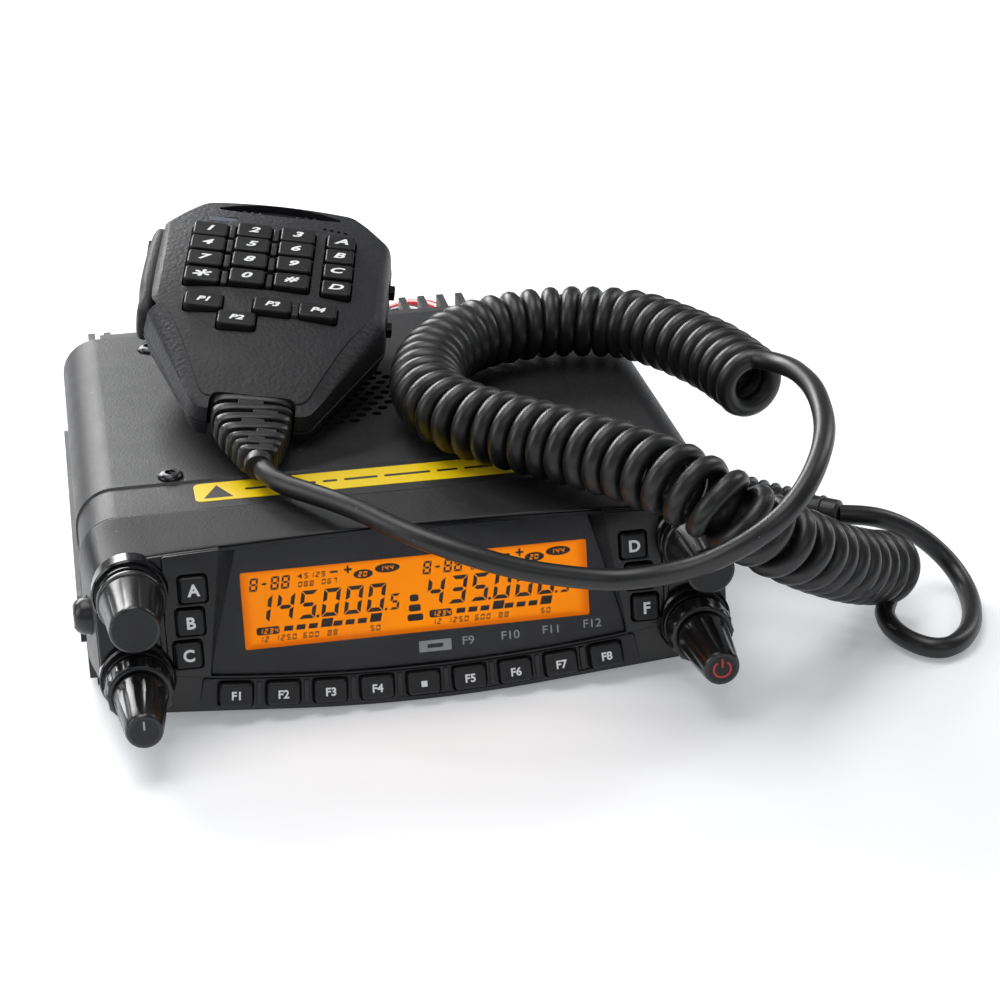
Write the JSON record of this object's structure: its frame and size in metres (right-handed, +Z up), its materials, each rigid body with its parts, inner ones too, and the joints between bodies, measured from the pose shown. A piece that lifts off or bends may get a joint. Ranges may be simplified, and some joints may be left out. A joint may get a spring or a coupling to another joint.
{
  "type": "mobile transceiver",
  "caption": "Vehicle amateur radio transceiver: finned metal body, control head with backlit display, keys and knobs, hand microphone on a curly cord and a power pigtail.",
  "frame": {"origin": "centre of the flat underside of the body, on the surface that it stands on", "axes": "+X to the right seen from the front, the head and its knobs face -Y, +Z up"},
  "size_m": [0.2033, 0.2263, 0.0746],
  "materials": {
    "cast_aluminium": "black painted die casting, fine grain",
    "cover_paint": "black fine-textured powder coat",
    "black_steel": "black zinc",
    "circuit_board": "green solder mask",
    "speaker_paper": "pressed paper cone and steel basket",
    "fan_plastic": "moulded",
    "nickel": "nickel plated",
    "socket_plastic": "moulded",
    "head_plastic": "fine sparked texture",
    "gloss_black": "gloss",
    "smoked_lens": "smoked acrylic",
    "orange_display": "backlit liquid crystal",
    "grey_metal": "plain steel",
    "knob_black": "semi-gloss",
    "key_plastic": "matte with white legends",
    "mic_plastic": "grained",
    "key_rubber": "silicone and soft PVC",
    "cord_pvc": "satin PVC",
    "red_wire": "PVC insulation",
    "plug_nylon": "natural nylon"
  },
  "bodies": {
    "radio": {"chassis": "cast_aluminium", "top_cover": "cover_paint", "bottom_cover": "cover_paint", "cover_screws": "black_steel", "main_board": "circuit_board", "loudspeaker": "speaker_paper", "fan_frame": "fan_plastic", "antenna_socket": "nickel", "rear_jacks": "socket_plastic", "mic_socket": "socket_plastic", "head_case": "head_plastic", "head_bezel": "gloss_black", "lens": "smoked_lens", "lcd_panel": "orange_display", "head_board": "circuit_board", "control_bodies": "grey_metal", "mic_front_shell": "mic_plastic", "mic_rear_shell": "mic_plastic", "mic_board": "circuit_board", "mic_hanger": "mic_plastic", "mic_screws": "grey_metal", "mic_boot": "key_rubber", "mic_lead": "cord_pvc", "mic_coil": "cord_pvc", "mic_tail": "cord_pvc", "mic_plug": "socket_plastic", "power_gland": "key_rubber", "power_lead_red": "red_wire", "power_lead_black": "cord_pvc", "power_plug": "plug_nylon"},
    "fan": {"fan_rotor": "fan_plastic"},
    "left_dial_push": {"left_dial_shaft": "grey_metal"},
    "left_dial": {"left_dial_knob": "knob_black"},
    "left_volume": {"left_volume_knob": "knob_black"},
    "left_squelch": {"left_squelch_ring": "knob_black"},
    "right_dial_push": {"right_dial_shaft": "grey_metal"},
    "right_dial": {"right_dial_knob": "knob_black"},
    "right_volume": {"right_volume_knob": "knob_black"},
    "right_squelch": {"right_squelch_ring": "knob_black"},
    "key_row_1": {"key_row_1": "key_plastic"},
    "key_row_2": {"key_row_2": "key_plastic"},
    "key_row_3": {"key_row_3": "key_plastic"},
    "key_row_4": {"key_row_4": "key_plastic"},
    "key_row_5": {"key_row_5": "key_plastic"},
    "key_row_6": {"key_row_6": "key_plastic"},
    "key_row_7": {"key_row_7": "key_plastic"},
    "key_row_8": {"key_row_8": "key_plastic"},
    "key_row_9": {"key_row_9": "key_plastic"},
    "key_a": {"key_a": "key_plastic"},
    "key_b": {"key_b": "key_plastic"},
    "key_c": {"key_c": "key_plastic"},
    "key_d": {"key_d": "key_plastic"},
    "key_e": {"key_e": "key_plastic"},
    "key_f": {"key_f": "key_plastic"},
    "release": {"release_button": "head_plastic"},
    "mic_keys": {"mic_keypad": "key_rubber"},
    "ptt": {"mic_ptt": "key_rubber"},
    "up_down": {"mic_rocker": "key_rubber"},
    "mic_lock": {"mic_lock_slide": "key_rubber"},
    "mic_lamp": {"mic_lamp_slide": "key_rubber"}
  },
  "joints": [
    {"name": "fan_spin", "type": "hinge", "parent": "radio", "child": "fan", "pos_m": [-0.038, 0.0675, 0.02], "axis": [0, 1, 0], "continuous": true},
    {"name": "left_dial_press", "type": "slide", "parent": "radio", "child": "left_dial_push", "axis": [0, 1, 0], "range_m": [0, 0.0005], "stiffness_N_per_m": 800},
    {"name": "left_dial_turn", "type": "hinge", "parent": "left_dial_push", "child": "left_dial", "pos_m": [-0.06, -0.08, 0.03], "axis": [0, -1, 0], "continuous": true},
    {"name": "left_volume_turn", "type": "hinge", "parent": "radio", "child": "left_volume", "pos_m": [-0.06, -0.085, 0.012], "axis": [0, -1, 0], "range_deg": [-140, 140]},
    {"name": "left_squelch_turn", "type": "hinge", "parent": "radio", "child": "left_squelch", "pos_m": [-0.06, -0.08, 0.012], "axis": [0, -1, 0], "range_deg": [-140, 140]},
    {"name": "right_dial_press", "type": "slide", "parent": "radio", "child": "right_dial_push", "axis": [0, 1, 0], "range_m": [0, 0.0005], "stiffness_N_per_m": 800},
    {"name": "right_dial_turn", "type": "hinge", "parent": "right_dial_push", "child": "right_dial", "pos_m": [0.06, -0.08, 0.03], "axis": [0, -1, 0], "continuous": true},
    {"name": "right_volume_turn", "type": "hinge", "parent": "radio", "child": "right_volume", "pos_m": [0.06, -0.085, 0.012], "axis": [0, -1, 0], "range_deg": [-140, 140]},
    {"name": "right_squelch_turn", "type": "hinge", "parent": "radio", "child": "right_squelch", "pos_m": [0.06, -0.08, 0.012], "axis": [0, -1, 0], "range_deg": [-140, 140]},
    {"name": "key_row_1_press", "type": "slide", "parent": "radio", "child": "key_row_1", "axis": [0, 0.9816, -0.1908], "range_m": [0, 0.0008], "stiffness_N_per_m": 300},
    {"name": "key_row_2_press", "type": "slide", "parent": "radio", "child": "key_row_2", "axis": [0, 0.9816, -0.1908], "range_m": [0, 0.0008], "stiffness_N_per_m": 300},
    {"name": "key_row_3_press", "type": "slide", "parent": "radio", "child": "key_row_3", "axis": [0, 0.9816, -0.1908], "range_m": [0, 0.0008], "stiffness_N_per_m": 300},
    {"name": "key_row_4_press", "type": "slide", "parent": "radio", "child": "key_row_4", "axis": [0, 0.9816, -0.1908], "range_m": [0, 0.0008], "stiffness_N_per_m": 300},
    {"name": "key_row_5_press", "type": "slide", "parent": "radio", "child": "key_row_5", "axis": [0, 0.9816, -0.1908], "range_m": [0, 0.0008], "stiffness_N_per_m": 300},
    {"name": "key_row_6_press", "type": "slide", "parent": "radio", "child": "key_row_6", "axis": [0, 0.9816, -0.1908], "range_m": [0, 0.0008], "stiffness_N_per_m": 300},
    {"name": "key_row_7_press", "type": "slide", "parent": "radio", "child": "key_row_7", "axis": [0, 0.9816, -0.1908], "range_m": [0, 0.0008], "stiffness_N_per_m": 300},
    {"name": "key_row_8_press", "type": "slide", "parent": "radio", "child": "key_row_8", "axis": [0, 0.9816, -0.1908], "range_m": [0, 0.0008], "stiffness_N_per_m": 300},
    {"name": "key_row_9_press", "type": "slide", "parent": "radio", "child": "key_row_9", "axis": [0, 0.9816, -0.1908], "range_m": [0, 0.0008], "stiffness_N_per_m": 300},
    {"name": "key_a_press", "type": "slide", "parent": "radio", "child": "key_a", "axis": [0, 0.9816, -0.1908], "range_m": [0, 0.0008], "stiffness_N_per_m": 300},
    {"name": "key_b_press", "type": "slide", "parent": "radio", "child": "key_b", "axis": [0, 0.9816, -0.1908], "range_m": [0, 0.0008], "stiffness_N_per_m": 300},
    {"name": "key_c_press", "type": "slide", "parent": "radio", "child": "key_c", "axis": [0, 0.9816, -0.1908], "range_m": [0, 0.0008], "stiffness_N_per_m": 300},
    {"name": "key_d_press", "type": "slide", "parent": "radio", "child": "key_d", "axis": [0, 0.9816, -0.1908], "range_m": [0, 0.0008], "stiffness_N_per_m": 300},
    {"name": "key_e_press", "type": "slide", "parent": "radio", "child": "key_e", "axis": [0, 0.9816, -0.1908], "range_m": [0, 0.0008], "stiffness_N_per_m": 300},
    {"name": "key_f_press", "type": "slide", "parent": "radio", "child": "key_f", "axis": [0, 0.9816, -0.1908], "range_m": [0, 0.0008], "stiffness_N_per_m": 300},
    {"name": "release_press", "type": "slide", "parent": "radio", "child": "release", "axis": [1, 0, 0], "range_m": [0, 0.0015], "stiffness_N_per_m": 400},
    {"name": "mic_keys_press", "type": "slide", "parent": "radio", "child": "mic_keys", "axis": [-0.096, 0.2504, -0.9634], "range_m": [0, 0.0007], "stiffness_N_per_m": 500},
    {"name": "ptt_press", "type": "hinge", "parent": "radio", "child": "ptt", "pos_m": [-0.0499, 0.01603, 0.05754], "axis": [0.096, -0.2504, 0.9634], "range_deg": [-2.2, 0], "stiffness_Nm_per_rad": 1},
    {"name": "up_down_rock", "type": "hinge", "parent": "radio", "child": "up_down", "pos_m": [-0.01391, 0.0489, 0.06852], "axis": [0.096, -0.2504, 0.9634], "range_deg": [-2.5, 2.5], "stiffness_Nm_per_rad": 0.5},
    {"name": "mic_lock_slide_move", "type": "slide", "parent": "radio", "child": "mic_lock", "axis": [0.1958, 0.9537, 0.2284], "range_m": [-0.0008, 0.0008]},
    {"name": "mic_lamp_slide_move", "type": "slide", "parent": "radio", "child": "mic_lamp", "axis": [0.1958, 0.9537, 0.2284], "range_m": [-0.0008, 0.0008]}
  ]
}
